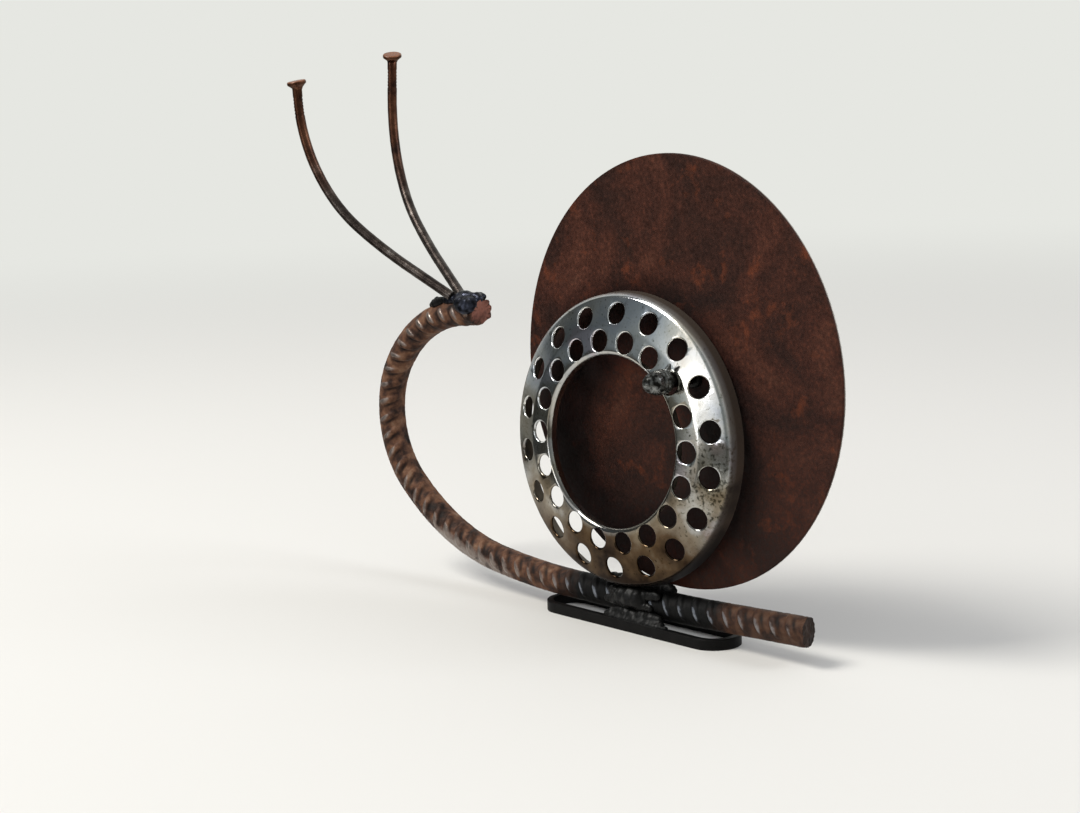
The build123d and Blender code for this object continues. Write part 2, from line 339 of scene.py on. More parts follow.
def smooth(piece, crease_angle):
    """Smooth shading, except over edges sharper than an angle in degrees."""
    take(piece)
    bpy.ops.object.shade_smooth_by_angle(angle=radians(crease_angle))


def stand_for(piece, material, slot, *node_names):
    """Gives a finished piece its material and body, and hides the CAD nodes that it stands for. Its slot is
    not used.
    """
    if material:
        piece.data.materials.clear()
        piece.data.materials.append(material)
    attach(piece, "root")
    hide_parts(*node_names)


# Bar


# The ribbed bar lies in the plane Y = 0, and distances along its axis are measured from its tail.
FOOT_HEIGHT = 5 * MM
CORE_RADIUS, RIB_HEIGHT = 6.75 * MM, 0.75 * MM
BAR_RADIUS = CORE_RADIUS + RIB_HEIGHT
BAR_AXIS_HEIGHT = FOOT_HEIGHT + BAR_RADIUS
TAIL_LENGTH = 107.5 * MM
TAIL_BEND_RADIUS, TAIL_BEND_ANGLE = 600 * MM, radians(2.3)
HEEL_LENGTH = 20 * MM
FLAT_LENGTH = 64 * MM
BENDS = (
    (430 * MM, radians(7.7)),
    (125 * MM, radians(35)),
    (47 * MM, radians(85)),
    (72 * MM, radians(46)),
)
HEAD_LENGTH = 21.5 * MM
TAIL_RUN_LENGTH = (TAIL_LENGTH - HEEL_LENGTH - TAIL_BEND_RADIUS * sin(TAIL_BEND_ANGLE)) / cos(TAIL_BEND_ANGLE)
TAIL_RISE = TAIL_BEND_RADIUS * (1 - cos(TAIL_BEND_ANGLE)) + TAIL_RUN_LENGTH * sin(TAIL_BEND_ANGLE)
TAIL_END = Vector((FOOT_X + TAIL_LENGTH, 0, BAR_AXIS_HEIGHT + TAIL_RISE))
# Straight runs and bends from the tail to the head: each one's length and turn.
STRETCHES = (
    (TAIL_RUN_LENGTH, 0),
    (TAIL_BEND_RADIUS * TAIL_BEND_ANGLE, TAIL_BEND_ANGLE),
    (FLAT_LENGTH, 0),
    *((radius * angle, angle) for radius, angle in BENDS),
    (HEAD_LENGTH, 0),
)
BAR_LENGTH = sum(length for length, _ in STRETCHES)
LINE_STEP = 1.5 * MM

# Each end's cut while the bar is straight: its middle, and the direction that it faces.
TAIL_CUT_ANGLE, HEAD_CUT_ANGLE = radians(20), radians(22)
TAIL_CUT = Vector((BAR_RADIUS * tan(TAIL_CUT_ANGLE), 0, 0))
HEAD_CUT = Vector((BAR_LENGTH - BAR_RADIUS * tan(HEAD_CUT_ANGLE), 0, 0))
CUTS = (
    (TAIL_CUT, Vector((-cos(TAIL_CUT_ANGLE), -sin(TAIL_CUT_ANGLE), 0))),
    (HEAD_CUT, Vector((cos(HEAD_CUT_ANGLE), 0, sin(HEAD_CUT_ANGLE)))),
)
CUT_INSETS = 5

# Crescent ribs lean in two rows between two seams. They turn with the bar's twist and wear off at the tail.
RIB_PITCH = 9.5 * MM
RIB_LEAN = radians(27)
RIB_BASE, RIB_TOP, RIB_RELIEF = 5.6 * MM, 1.5 * MM, 1.0 * MM
RIB_END_ANGLE = radians(66)
RIB_TIP_SHARE, RIB_FALL = 0.3, 1.3
RIB_TURN = radians(38)
HEAD_TWIST, HEAD_TWIST_REACH = radians(22), 110 * MM
SEAM_HEIGHT, SEAM_WIDTH, SEAM_FALL = 0.5 * MM, 3.6 * MM, 0.7
TAIL_WEAR_LENGTH, TAIL_RIB_SHARE = 14 * MM, 0.2
HEAD_TAPER_LENGTH, HEAD_TAPER_SHARE = 8 * MM, 0.17
BAR_STEPS = 64
RINGS_PER_PITCH = 20
SPARE_PITCHES = 3
PITCH_JOIN = 0.02 * MM

# Size and height of the mill scale, of its grain, and of the dents at the ends, which fade inwards.
BAR_SCALE = (3.2 * MM, 0.3 * MM)
BAR_GRAIN = (1.1 * MM, 0.2 * MM)
END_DENTS = (3.2 * MM, 1.7 * MM)
END_WEAR_LENGTH = 7 * MM

# Marks for the finish: crests scraped bare, with a painted highlight on the lit flank towards the head, a
# painted shade line at each rib's tailward foot, the neck's outer side, sooty scorch by the welds, and cuts.
CREST_GAIN, CREST_BACK_SHARE = 1.35, 0.35
# Where the bright crests show: short streaks near the middle of each side, where the painted highlight falls.
RUBBED_AND_HIGHLIT_ANGLE, RUBBED_AND_HIGHLIT_FADE, UNRUBBED_UNLIT_SHARE = radians(14), radians(36), 0.15
BELLY_START, BELLY_END = 165 * MM, 290 * MM
SCORCH_START, SCORCH_END, SCORCH_FADE = 62 * MM, 140 * MM, 26 * MM
TAIL_DULLNESS = 0.36
HEAD_SCORCH_REACH = 26 * MM
CUT_MARK_DEPTH = 0.05 * MM
CUT_RIM_SHARE, CUT_FADE_SHARE = 1.0, 0.26


def walk(point, heading, distance, stretches):
    """Where a line of straight runs and bends has come to in the XZ plane, and where it heads, in radians."""
    for length, turn in stretches:
        step = min(distance, length)
        if turn:
            radius = length / turn
            turned = heading - step / radius
            point = point + radius * Vector((sin(heading) - sin(turned), 0, cos(turned) - cos(heading)))
            heading = turned
        else:
            point = point + step * Vector((cos(heading), 0, sin(heading)))
        distance -= step
        if distance <= 0:
            break
    return point, heading


def beside_bar(distance, angle, rise):
    """A point beside the bar's axis, on the outer side of its bends, leaned towards -Y by an angle."""
    point, heading = walk(TAIL_END, pi + TAIL_BEND_ANGLE, distance, STRETCHES)
    outwards = Vector((-sin(heading), 0, cos(heading)))
    return point + rise * (cos(angle) * outwards - sin(angle) * Vector((0, 1, 0)))


def bend_along(piece, points):
    """Bends a piece that lies along the X axis to a line through points."""
    curve = bpy.data.curves.new("line", "CURVE")
    curve.dimensions = "3D"
    spline = curve.splines.new("POLY")
    spline.points.add(len(points) - 1)
    for target, point in zip(spline.points, points):
        target.co = (*point, 1)
    line = bpy.data.objects.new("line", curve)
    bpy.context.scene.collection.objects.link(line)
    add_modifier(piece, "CURVE", object=line, deform_axis="POS_X")
    bpy.data.objects.remove(line)


def cut_end(piece, point, direction):
    """Cuts a piece off flat, and closes the cut with rings of faces that dents can move."""
    edit(piece)
    bpy.ops.mesh.bisect(plane_co=point, plane_no=direction, use_fill=True, clear_outer=True)
    for ring in range(CUT_INSETS, 0, -1):
        share = ring / (ring + 1)
        bpy.ops.mesh.extrude_region_move()
        bpy.ops.transform.resize(value=(share, share, share), center_override=point)
    bpy.ops.mesh.poke()
    done()


def rib_share(offset, angle):
    """A crescent rib's height as a share, from the place in its pitch and the angle from its middle."""
    if angle >= RIB_END_ANGLE:
        return 0
    fullness = sqrt(1 - (angle / RIB_END_ANGLE) ** 2)
    half = RIB_BASE / 2 * (RIB_TIP_SHARE + (1 - RIB_TIP_SHARE) * fullness)
    top = RIB_TOP / 2 * fullness
    flank = min(1, max(0, abs(offset) - top) / (half - top))
    return fullness**RIB_FALL * (0.5 + 0.5 * cos(pi * flank))


def bump_share(value, middle, reach):
    """One at the middle, falling smoothly to zero at the reach."""
    return cos(pi / 2 * min(1, abs(value - middle) / reach)) ** 2


def straight_bar():
    """One pitch of a plain bar, repeated along the X axis."""
    deselect()
    bpy.ops.mesh.primitive_circle_add(vertices=BAR_STEPS, radius=CORE_RADIUS, rotation=(0, pi / 2, 0))
    piece = bpy.context.object
    piece.name = "ribbed_bar"
    bpy.ops.object.transform_apply(location=False, rotation=True, scale=False)
    edit(piece)
    move = {"value": (RIB_PITCH / RINGS_PER_PITCH, 0, 0)}
    for _ in range(RINGS_PER_PITCH):
        bpy.ops.mesh.extrude_region_move(TRANSFORM_OT_translate=move)
    done()
    add_modifier(piece, "ARRAY", count=ceil(BAR_LENGTH / RIB_PITCH) + SPARE_PITCHES, use_merge_vertices=True,
                 merge_threshold=PITCH_JOIN)
    return piece


def raise_ribs(mesh):
    """Moves each point of the straight bar out to its rib or seam, and marks it for the finish."""
    crest, painted_rib_shade, belly, scorch = new_marks(mesh, "crest", "painted_rib_shade", "belly", "scorch")
    for index, vertex in enumerate(mesh.vertices):
        x, y, z = vertex.co
        turn = RIB_TURN - HEAD_TWIST * max(0, 1 - (BAR_LENGTH - x + RIB_PITCH) / HEAD_TWIST_REACH)
        outwards = y * cos(turn) + z * sin(turn)
        seamwards = z * cos(turn) - y * sin(turn)
        lean = atan2(seamwards, abs(outwards))
        along = x + seamwards * tan(RIB_LEAN) - RIB_PITCH
        offset = (x + RIB_PITCH / 2) % RIB_PITCH - RIB_PITCH / 2
        rib = clamp(along / TAIL_WEAR_LENGTH, TAIL_RIB_SHARE) * rib_share(offset, abs(lean))
        seam = cos(pi / 2 * min(1, abs(outwards) / (SEAM_WIDTH / 2))) ** SEAM_FALL
        radius = BAR_RADIUS + RIB_RELIEF * (rib - 1) + SEAM_HEIGHT * seam
        taper = 1 - HEAD_TAPER_SHARE * max(0, 1 - (BAR_LENGTH - along) / HEAD_TAPER_LENGTH) ** 2
        swell = radius / CORE_RADIUS * taper
        vertex.co = (along, y * swell, z * swell)

        # Painted highlight: the crest mark is stronger on the flank towards the head, which faces the light,
        # and kept to a short streak near the middle of each side.
        lit_headward = 0.5 + 0.5 * sin(pi / 2 * clamp(offset / RIB_TOP, -1))
        rubbed_and_highlit = clamp((RUBBED_AND_HIGHLIT_ANGLE - lean) / RUBBED_AND_HIGHLIT_FADE, UNRUBBED_UNLIT_SHARE)
        crest_share = CREST_BACK_SHARE + (1 - CREST_BACK_SHARE) * lit_headward
        crest[index].value = min(1, CREST_GAIN * rib) * crest_share * rubbed_and_highlit
        # Painted shade: a dark line at the foot of each rib's tailward flank, where its shadow falls.
        in_rib_shade = bump_share(offset, -RIB_BASE / 2, RIB_BASE / 3)
        painted_rib_shade[index].value = max(0, 1 - abs(lean) / RIB_END_ANGLE) * in_rib_shade
        on_belly = bump_share(along, (BELLY_START + BELLY_END) / 2, (BELLY_END - BELLY_START) / 2)
        belly[index].value = max(0, -seamwards / CORE_RADIUS) * on_belly
        head_heat = bump_share(along, BAR_LENGTH, HEAD_SCORCH_REACH) * max(0, -z / CORE_RADIUS)
        foot_heat = clamp(1 - max(SCORCH_START - along, along - SCORCH_END) / SCORCH_FADE)
        if along < SCORCH_START:
            foot_heat = max(TAIL_DULLNESS, foot_heat)
        scorch[index].value = max(head_heat, foot_heat)


def ribbed_bar(material):
    """The straight bar is ribbed, cut off at both ends, roughened and bent."""
    piece = straight_bar()
    raise_ribs(piece.data)
    for point, direction in CUTS:
        cut_end(piece, point, direction)
    face_outwards(piece)
    ends = piece.vertex_groups.new(name="ends")
    cut, = new_marks(piece.data, "cut")
    for vertex, mark in zip(piece.data.vertices, cut):
        depth = min(abs((vertex.co - point).dot(direction)) for point, direction in CUTS)
        inwards = (CUT_RIM_SHARE - Vector(vertex.co.yz).length / BAR_RADIUS) / CUT_FADE_SHARE
        mark.value = clamp(inwards) if depth < CUT_MARK_DEPTH else 0.0
        ends.add([vertex.index], max(0, 1 - depth / END_WEAR_LENGTH), "REPLACE")
    add_roughness(piece, *BAR_SCALE)
    add_roughness(piece, *BAR_GRAIN)
    add_roughness(piece, *END_DENTS, "ends")
    count = ceil(BAR_LENGTH / LINE_STEP)
    bend_along(piece, [beside_bar(BAR_LENGTH * step / count, 0, 0) for step in range(count + 1)])
    smooth(piece, crease_angle=50)
    stand_for(piece, material, "ribbed_bar", "body_bar")


# Ring


# The dished sheet's section runs from the rim of its skirt to the lip of its bore. Falls are from its front.
RING_RADIUS, RING_DEPTH, RING_GAUGE = 69 * MM, 14.7 * MM, 1 * MM
SKIRT_TAPER, SKIRT_FOOT = 0.3 * MM, 2 * MM
SHOULDER_RADIUS, SHOULDER_FALL, SHOULDER_ROUND = 67.9 * MM, 6.1 * MM, 3 * MM
CREASE_RADIUS, CREASE_FALL, CREASE_ROUND = 53.1 * MM, 1.5 * MM, 12 * MM
SLOPE_SHARES = (0.35, 0.65)
BORE_RADIUS, LIP_ROUND, LIP_DEPTH = 40 * MM, 2.4 * MM, 4.6 * MM
CREST_RADIUS = BORE_RADIUS + LIP_ROUND
RING_STEPS = 360

# Two rows of punched holes. The holes of one stand between those of the other.
HOLE_COUNT, HOLE_RADIUS, HOLE_ROUND, HOLE_STEPS = 18, 5 * MM, 0.85 * MM, 40
INNER_ROW_RADIUS, OUTER_ROW_RADIUS = 46.85 * MM, 59.3 * MM
PUNCH_TOP, PUNCH_REACH = 3 * MM, 6 * MM

# The ring stands on the bar, leans back against the disc and is turned a little.
RING_X, RING_REST_OFFSET, SEAT_GAP = -4.5 * MM, 2 * MM, 0.3 * MM
RING_LEAN, RING_TURN = radians(3.3), radians(2.1)
RIM_HEIGHT = sqrt(CORE_RADIUS**2 - RING_REST_OFFSET**2) + SEAT_GAP
RING_CENTER = Vector((
    FOOT_X + RING_X,
    RING_RADIUS * sin(RING_LEAN) - RING_REST_OFFSET,
    BAR_AXIS_HEIGHT + RIM_HEIGHT + RING_RADIUS * cos(RING_LEAN),
))
RING_PLACE = (
    Matrix.Translation(RING_CENTER)
    @ Matrix.Rotation(RING_TURN, 4, "Z")
    @ Matrix.Rotation(pi / 2 - RING_LEAN, 4, "X")
)


def rounded(before, corner, after, radius, steps):
    """Points that round a corner of an outline."""
    before, corner, after = Vector(before), Vector(corner), Vector(after)
    first, second = (before - corner).normalized(), (after - corner).normalized()
    half = first.angle(second) / 2
    center = corner + (first + second).normalized() * radius / sin(half)
    start = corner + first * radius / tan(half) - center
    end = corner + second * radius / tan(half) - center
    turn = start.angle_signed(end)
    return [tuple(center + Matrix.Rotation(-turn * step / steps, 2) @ start) for step in range(steps + 1)]


def ring_outline():
    """The polished side's radius and height, from the rim of the skirt in to the lip of the bore."""
    rim = (RING_RADIUS, 0)
    shoulder = (SHOULDER_RADIUS, RING_DEPTH - SHOULDER_FALL)
    crease = (CREASE_RADIUS, RING_DEPTH - CREASE_FALL)
    crest = (CREST_RADIUS, RING_DEPTH)
    slope = [
        (shoulder[0] + (crease[0] - shoulder[0]) * share, shoulder[1] + (crease[1] - shoulder[1]) * share)
        for share in SLOPE_SHARES
    ]
    return [
        rim,
        (RING_RADIUS - SKIRT_TAPER, SKIRT_FOOT),
        *rounded(rim, shoulder, crease, SHOULDER_ROUND, steps=8),
        *slope,
        *rounded(shoulder, crease, crest, CREASE_ROUND, steps=4),
        *arc((CREST_RADIUS, RING_DEPTH - LIP_ROUND), LIP_ROUND, pi / 2, pi, steps=10),
        (BORE_RADIUS, RING_DEPTH - LIP_DEPTH),
    ]


def hole_punch():
    """A punch with a flared collar, which leaves a rounded edge on the hole. Its collar's top is at z = 0."""
    collar = arc((HOLE_RADIUS + HOLE_ROUND, -HOLE_ROUND), HOLE_ROUND, pi / 2, pi, steps=4)
    outline = [(HOLE_RADIUS + HOLE_ROUND, PUNCH_TOP), *collar, (HOLE_RADIUS, -PUNCH_REACH)]
    punch = drawn_piece("punch", outline, HOLE_STEPS)
    close_ends(punch)
    return punch


def punched_row(punch, radius, first_angle, surface_height, slope):
    """Copies of the punch at each hole of a row, square to the dished face."""
    copies = []
    for step in range(HOLE_COUNT):
        copy = bpy.data.objects.new("punch", punch.data.copy())
        copy.data.transform(
            Matrix.Rotation(first_angle + step * 2 * pi / HOLE_COUNT, 4, "Z")
            @ Matrix.Translation((radius, 0, surface_height))
            @ Matrix.Rotation(slope, 4, "Y")
        )
        bpy.context.scene.collection.objects.link(copy)
        copies.append(copy)
    return copies


def perforated_ring(front, back):
    """The dished sheet is drawn out, thickened inwards and punched, then set up against the disc."""
    piece = drawn_piece("perforated_ring", ring_outline(), RING_STEPS)
    edit(piece)
    bpy.ops.mesh.normals_make_consistent(inside=False)
    done()
    if max(piece.data.polygons, key=lambda face: face.center.z).normal.z < 0:
        edit(piece)
        bpy.ops.mesh.flip_normals()
        done()
    piece.data.materials.append(front)
    piece.data.materials.append(back)
    add_modifier(piece, "SOLIDIFY", thickness=RING_GAUGE, offset=-1, use_even_offset=True, material_offset=1)
    inner_slope = CREASE_FALL / (CREASE_RADIUS - CREST_RADIUS)
    outer_slope = (SHOULDER_FALL - CREASE_FALL) / (SHOULDER_RADIUS - CREASE_RADIUS)
    inner_height = RING_DEPTH - (INNER_ROW_RADIUS - CREST_RADIUS) * inner_slope
    outer_height = RING_DEPTH - CREASE_FALL - (OUTER_ROW_RADIUS - CREASE_RADIUS) * outer_slope
    punch = hole_punch()
    punches = join(
        punched_row(punch, INNER_ROW_RADIUS, 0, inner_height, inner_slope)
        + punched_row(punch, OUTER_ROW_RADIUS, pi / HOLE_COUNT, outer_height, outer_slope)
    )
    add_modifier(piece, "BOOLEAN", object=punches, operation="DIFFERENCE", solver="MANIFOLD")
    bpy.data.objects.remove(punches)
    bpy.data.objects.remove(punch)
    piece.data.transform(RING_PLACE)
    smooth(piece, crease_angle=28)
    stand_for(piece, None, "polished_steel", "shell_ring")


# Nails


# The shank runs up from the head weld, bows and bends upright, in a plane that spreads and leans outwards.
NAIL_RADIUS, NAIL_STEPS, NAIL_STEP = 2.5 * MM, 32, 2 * MM
NAIL_SPREAD, NAIL_PLANE_LEAN, NAIL_SLOPE = radians(14.5), radians(3.1), radians(29)
NAIL_ROOT_OFFSET, NAIL_ROOT_GAP, NAIL_START_LENGTH = 19.8 * MM, 0.2 * MM, 2 * MM
NAIL_RUN_LENGTH = 30 * MM
NAIL_BOW_RADIUS, NAIL_BOW_ANGLE = 263 * MM, radians(7.6)
NAIL_BEND_RADIUS = 81.6 * MM
NAIL_SCALE = (2.2 * MM, 0.16 * MM)

# Grip marks end a little below the head. The neck's shares are of the shank's radius, the rest of the head's.
GRIP_COUNT, GRIP_PITCH, GRIP_DEPTH, GRIP_END = 6, 1.7 * MM, 0.22 * MM, 6 * MM
NAIL_TIP_SHARE = 0.3
NECK_START, NECK_FLARE, NECK_SHARE = 2.6 * MM, 1.5 * MM, 1.15
NAIL_HEAD_RADIUS, NAIL_HEAD_THICKNESS = 5 * MM, 2 * MM
UNDERSIDE_SHARE, UNDERSIDE_DROP, UNDERSIDE_ROUND = 0.86, 0.2 * MM, 0.6 * MM
CROWN_ROUND, CROWN_SHARES, CROWN_MARK_DEPTH = 0.8 * MM, (0.55, 0.1), 0.3 * MM

# Each nail's CAD node, side (-1 is the left), top and the way that its head leans.
NAILS = (
    ("left_feeler", -1, 257 * MM, Vector((-0.08, -0.09, 0))),
    ("right_feeler", 1, 268.7 * MM, Vector((0.28, -0.17, 0))),
)


def nail_outline(length):
    """Radius and height of a nail that stands on its cut end: shank, grip marks, neck and head."""
    grip_start = length - GRIP_END - GRIP_COUNT * GRIP_PITCH
    count = ceil(grip_start / NAIL_STEP)
    top = length + NAIL_HEAD_THICKNESS
    return [
        (NAIL_TIP_SHARE * NAIL_RADIUS, 0),
        *((NAIL_RADIUS, grip_start * step / count) for step in range(count + 1)),
        *(
            (NAIL_RADIUS - GRIP_DEPTH * (step % 2), grip_start + step * GRIP_PITCH / 2)
            for step in range(1, 2 * GRIP_COUNT + 1)
        ),
        (NAIL_RADIUS, length - NECK_START),
        (NAIL_RADIUS * NECK_SHARE, length - NECK_FLARE),
        (NAIL_HEAD_RADIUS * UNDERSIDE_SHARE, length - UNDERSIDE_DROP),
        *arc((NAIL_HEAD_RADIUS - UNDERSIDE_ROUND, length + UNDERSIDE_ROUND), UNDERSIDE_ROUND, -pi / 4, 0, 2),
        *arc((NAIL_HEAD_RADIUS - CROWN_ROUND, top - CROWN_ROUND), CROWN_ROUND, 0, pi / 2, 4),
        *((NAIL_HEAD_RADIUS * share, top) for share in CROWN_SHARES),
    ]


def nail_line(side, top):
    """A nail's length up to its head, and points along its bent axis from its root to its top."""
    outwards = Vector((-cos(NAIL_SPREAD), side * sin(NAIL_SPREAD), 0))
    upwards = Matrix.Rotation(side * NAIL_PLANE_LEAN, 3, outwards) @ UPRIGHT
    root = beside_bar(BAR_LENGTH - NAIL_ROOT_OFFSET, 0, BAR_RADIUS)
    root += Vector((0, side * (NAIL_RADIUS + NAIL_ROOT_GAP / 2), 0))
    start = Vector((NAIL_START_LENGTH, 0, NAIL_START_LENGTH * tan(NAIL_SLOPE)))
    bend_angle = pi / 2 - NAIL_SLOPE - NAIL_BOW_ANGLE
    stretches = [
        (NAIL_RUN_LENGTH, 0),
        (NAIL_BOW_RADIUS * NAIL_BOW_ANGLE, -NAIL_BOW_ANGLE),
        (NAIL_BEND_RADIUS * bend_angle, -bend_angle),
    ]
    bent_length = sum(length for length, _ in stretches)
    bend_end, _ = walk(start, NAIL_SLOPE, bent_length, stretches)
    bend_top = root + outwards * bend_end.x + upwards * bend_end.z
    tip_length = (top - NAIL_HEAD_THICKNESS - bend_top.z) / cos(NAIL_PLANE_LEAN)
    length = bent_length + tip_length
    stretches.append((tip_length + NAIL_HEAD_THICKNESS, 0))
    count = ceil((length + NAIL_HEAD_THICKNESS) / NAIL_STEP)
    points = []
    for step in range(count + 1):
        point, _ = walk(start, NAIL_SLOPE, (length + NAIL_HEAD_THICKNESS) * step / count, stretches)
        points.append(root + outwards * point.x + upwards * point.z)
    return length, points


def bent_nail(name, side, top, head_lean, material):
    """A straight nail, whose head is tilted before the whole is bent along its line."""
    length, points = nail_line(side, top)
    piece = drawn_piece(name + "_nail", nail_outline(length), NAIL_STEPS)
    close_ends(piece)
    face_outwards(piece)
    pivot = Vector((0, 0, length + NAIL_HEAD_THICKNESS / 2))
    lean = UPRIGHT.rotation_difference(UPRIGHT - head_lean).to_matrix().to_4x4()
    tilt = Matrix.Translation(pivot) @ lean @ Matrix.Translation(-pivot)
    crown, = new_marks(piece.data, "crown")
    for vertex, mark in zip(piece.data.vertices, crown):
        mark.value = 1.0 if vertex.co.z > length + NAIL_HEAD_THICKNESS - CROWN_MARK_DEPTH else 0.0
        if vertex.co.z > length - NAIL_HEAD_THICKNESS:
            vertex.co = tilt @ vertex.co
    piece.data.transform(Matrix.Rotation(pi / 2, 4, "Y"))
    add_roughness(piece, *NAIL_SCALE)
    bend_along(piece, points)
    smooth(piece, crease_angle=50)
    stand_for(piece, material, "nail_steel", name)


# Welds


# A row of weld is a run of overlapping coins round a core, each with its own size and place by chance.
COIN_PITCH, COIN_HALF_THICKNESS = 1.9 * MM, 1.1 * MM
COIN_RELIEF_SHARE = 0.05
COIN_SIZES, COIN_SHAKE = (0.9, 1.06), 0.08
ROW_END_TAPER = 0.3
WELD_VOXEL = 0.28 * MM
RIPPLE_SIZE, RIPPLE_SHARE = 4.5 * MM, 1.8
PIT_SIZE, PIT_SHARE = 1.6 * MM, 0.25

# Rows on the neck: distance back from a place on the bar and angle from its top at the back end, the same at
# the fore end, how far the fore end rises, and radius. In millimetres and degrees, as are the other rows.
HEAD_WELD_START = BAR_LENGTH - 2 * MM
HEAD_WELD_ROWS = (
    (25, 18, 15, 14, 0, 3.1),
    (25, -18, 15, -14, 0, 2.9),
    (17, 12, 5, 14, 0, 3.8),
    (16, -24, 2, -20, 0, 3.0),
    (13, 42, 1, 48, -1.2, 3.9),
    (10, 66, 2, 72, -1.4, 3.4),
    (5, 4, 0.5, 10, -1.2, 3.2),
)
NECK_TACK_START = BAR_LENGTH - 27.5 * MM
NECK_TACK_ROWS = ((10, 20, 0, 20, 0.6, 2.6),)

# Rows on the bar's flat stretch: place along X and angle from its top at each end, and radius.
RING_WELD_X = FOOT_X + RING_X + 7 * MM
RING_WELD_ROWS = ((-15, 58, 15, 48, 3.2), (-8, 72, 5, 70, 5.6), (-17, 88, 12, 96, 2.8))
DISC_WELD_X = FOOT_X + 13 * MM
DISC_WELD_ROWS = ((-5, -35, 5, -35, 3.4), (-34, -12, -3, -28, 3.3))

# Rows from the link's near rail to the bar: where each starts and ends along X, its rise and its radius.
FOOT_WELD_X = FOOT_X + 7 * MM
FOOT_WELD_ROWS = ((-20, 20, 0, 1.9), (-21, 16, 0.6, 2.6), (-17, 13, 2.4, 3.2))
RAIL_MIDDLE = 2.0 * MM

# The knob on the peg: shares of its radius and length, from the ring outwards. A drip stands up from it, at a
# share of its radius to the side and of its length along. Its drops' step and radii are in millimetres.
KNOB_RADIUS, KNOB_STEPS = 5.9 * MM, 32
KNOB_OUTLINE = (
    (0.50, 0.0), (0.76, 0.1), (0.94, 0.22), (1.0, 0.32), (0.9, 0.37), (0.99, 0.43), (0.87, 0.49),
    (0.95, 0.55), (0.87, 0.68), (0.7, 0.83), (0.42, 0.95), (0.12, 1.0),
)
DRIP_SIDE_SHARE, DRIP_ALONG_SHARE = 0.4, 0.2
DRIP_STEP, DRIP_SIZES = Vector((0.5, 0, 0.9)), (1.3, 1.0, 0.7)


def melt_together(pieces, name, roughness, smoothing):
    """Joins pieces, and melts them into one skin with ripples and pits, softened by rounds of smoothing."""
    lump = join(pieces)
    lump.name = name
    add_modifier(lump, "REMESH", mode="VOXEL", voxel_size=WELD_VOXEL)
    add_roughness(lump, RIPPLE_SIZE, RIPPLE_SHARE * roughness)
    add_roughness(lump, PIT_SIZE, PIT_SHARE * roughness)
    add_modifier(lump, "SMOOTH", factor=0.5, iterations=smoothing)
    take(lump)
    bpy.ops.object.shade_smooth()
    return lump


def ball(place):
    """A sphere of radius 1, moved and stretched by a matrix."""
    deselect()
    bpy.ops.mesh.primitive_uv_sphere_add(segments=24, ring_count=12, radius=1)
    piece = bpy.context.object
    piece.data.transform(place)
    return piece


def weld_lump(name, node_name, rows, material, roughness, smoothing):
    """Coins of melted metal along each row, melted into one skin. A row is its two ends and radius."""
    chance = Random(name)
    coins = []
    for first, last, radius in rows:
        along = last - first
        count = max(2, round(along.length / COIN_PITCH))
        turn = along.to_track_quat("Z", "Y").to_matrix().to_4x4()
        for step in range(count + 1):
            taper = 1 - ROW_END_TAPER * abs(2 * step / count - 1) ** 3
            size = radius * taper * chance.uniform(*COIN_SIZES)
            core = size * (1 - COIN_RELIEF_SHARE)
            shake = Vector([chance.uniform(-COIN_SHAKE, COIN_SHAKE) * radius for _ in range(3)])
            place = Matrix.Translation(first + along * (step / count) + shake) @ turn
            coins.append(ball(place @ Matrix.Diagonal((size, size, COIN_HALF_THICKNESS, 1))))
            coins.append(ball(place @ Matrix.Diagonal((core, core, core, 1))))
    lump = melt_together(coins, name, roughness, smoothing)
    stand_for(lump, material, "weld_metal", node_name)


def neck_rows(start, rows):
    """Places and radii in metres for rows on the neck, which go back from a distance along the bar."""
    return [
        (
            beside_bar(start - back * MM, radians(back_angle), BAR_RADIUS),
            beside_bar(start - fore * MM, radians(fore_angle), BAR_RADIUS + rise * MM),
            radius * MM,
        )
        for back, back_angle, fore, fore_angle, rise, radius in rows
    ]


def on_flat(x, angle):
    """A point on the bar's flat stretch, leaned towards -Y by an angle in degrees."""
    angle = radians(angle)
    return Vector((x, -BAR_RADIUS * sin(angle), BAR_AXIS_HEIGHT + BAR_RADIUS * cos(angle)))


def flat_rows(x, rows):
    """Places and radii in metres for rows on the bar's flat stretch."""
    return [
        (on_flat(x + first * MM, first_angle), on_flat(x + last * MM, last_angle), radius * MM)
        for first, first_angle, last, last_angle, radius in rows
    ]


def foot_rows():
    """Places and radii in metres for the rows between the link's rail and the bar."""
    rail_y, bar_y = foot_low.y + RAIL_MIDDLE, -BAR_RADIUS
    rows = []
    for y, (first, last, rise, radius) in zip((rail_y, (rail_y + bar_y) / 2, bar_y), FOOT_WELD_ROWS):
        ends = [Vector((FOOT_WELD_X + x * MM, y, FOOT_HEIGHT + rise * MM)) for x in (first, last)]
        rows.append((*ends, radius * MM))
    return rows


def welds(blue_weld, sooty_weld):
    """The run over the nails' roots, the tack behind it, the lumps under ring and disc, and the link's run."""
    for name, node_name, rows, material, roughness, smoothing in (
        ("head_weld_run", "head_weld", neck_rows(HEAD_WELD_START, HEAD_WELD_ROWS), blue_weld, 0.4 * MM, 60),
        ("neck_tack_lump", "neck_tack", neck_rows(NECK_TACK_START, NECK_TACK_ROWS), sooty_weld, 0.9 * MM, 10),
        ("ring_weld_lump", "ring_weld", flat_rows(RING_WELD_X, RING_WELD_ROWS), sooty_weld, 0.7 * MM, 36),
        ("disc_weld_lump", "disc_weld", flat_rows(DISC_WELD_X, DISC_WELD_ROWS), sooty_weld, 0.5 * MM, 24),
        ("foot_weld_run", "foot_weld", foot_rows(), sooty_weld, 0.7 * MM, 44),
    ):
        weld_lump(name, node_name, rows, material, roughness, smoothing)


